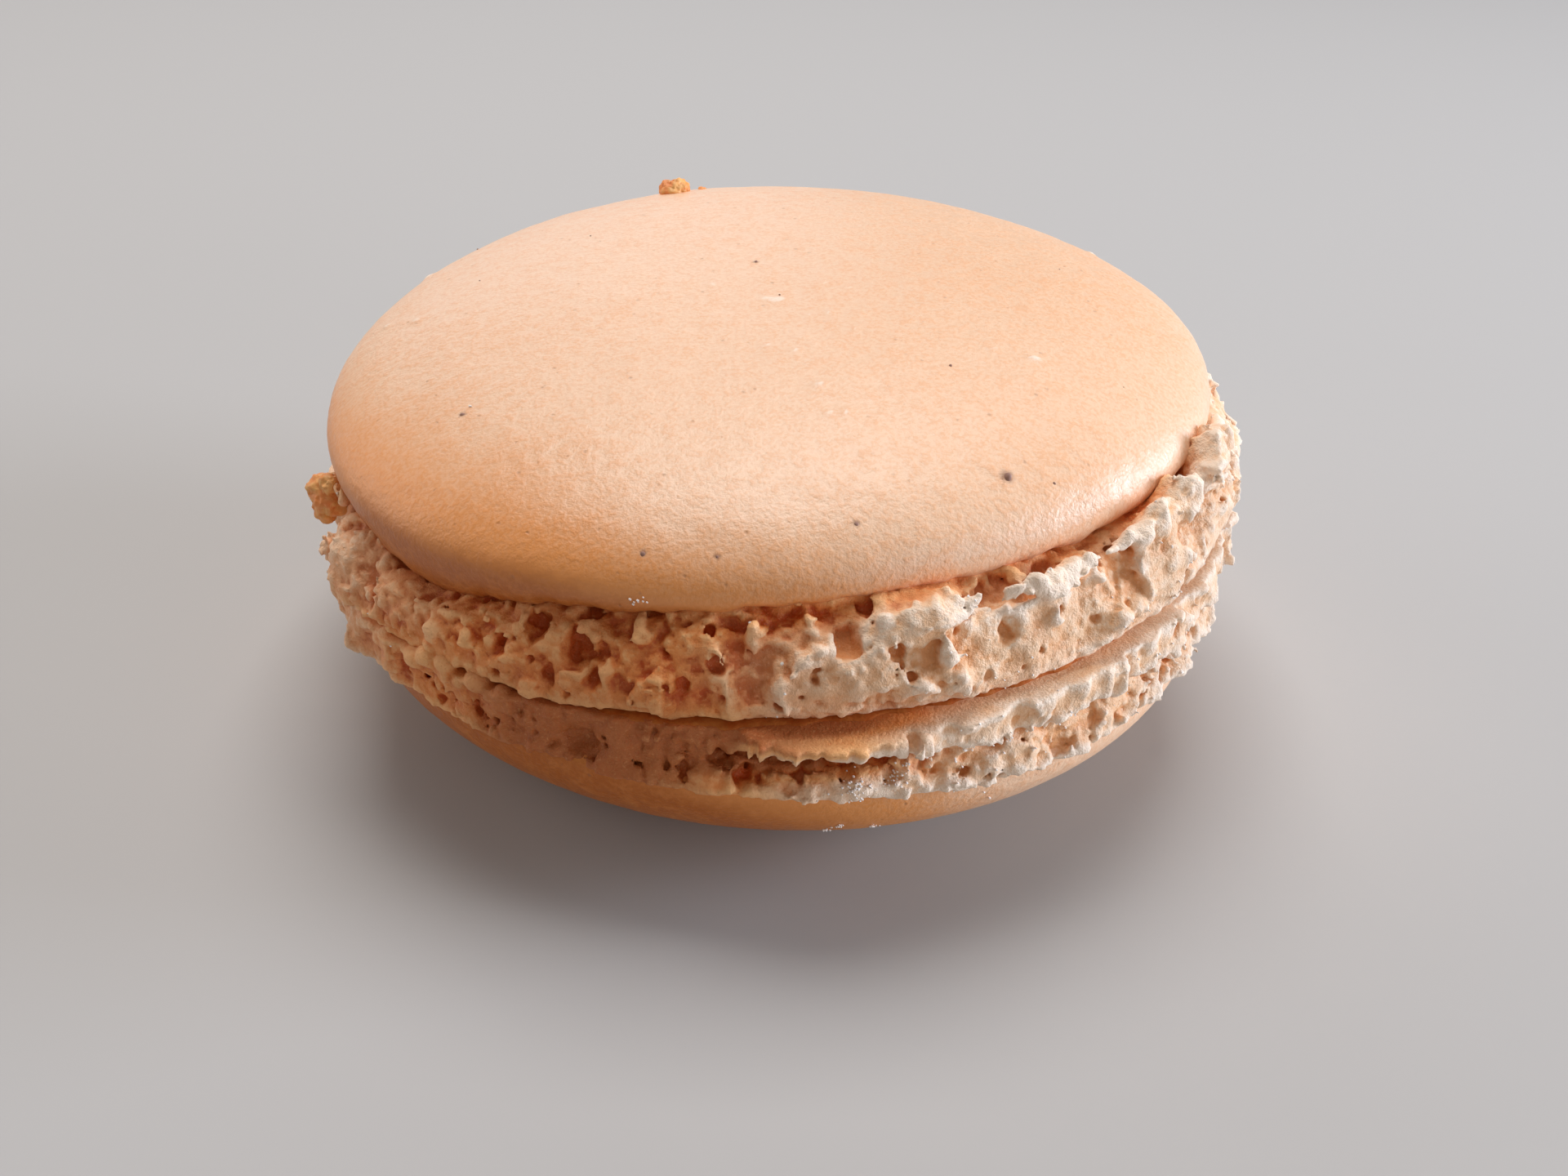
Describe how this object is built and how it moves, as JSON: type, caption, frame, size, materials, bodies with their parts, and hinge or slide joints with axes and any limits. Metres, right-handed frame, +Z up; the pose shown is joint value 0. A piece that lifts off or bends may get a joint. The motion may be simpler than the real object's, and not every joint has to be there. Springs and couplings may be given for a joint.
{
  "type": "sandwich macaroon",
  "caption": "Round gingerbread macaroon: domed almond meringue shells with ruffled feet, flat face to flat face on a thin filling.",
  "frame": {"origin": "on the surface that the macaroon stands on, at the centre of its bounding box seen from above", "axes": "+Z up through the domed cap, +X to the right and -Y towards the viewer who sees the proud lower ledge in front"},
  "size_m": [0.0454, 0.0461, 0.021],
  "materials": {
    "baked_meringue": "satin",
    "ginger_filling": "satin"
  },
  "bodies": {
    "root": {"shell_top": "baked_meringue", "filling": "ginger_filling", "shell_bottom": "baked_meringue"}
  },
  "joints": []
}
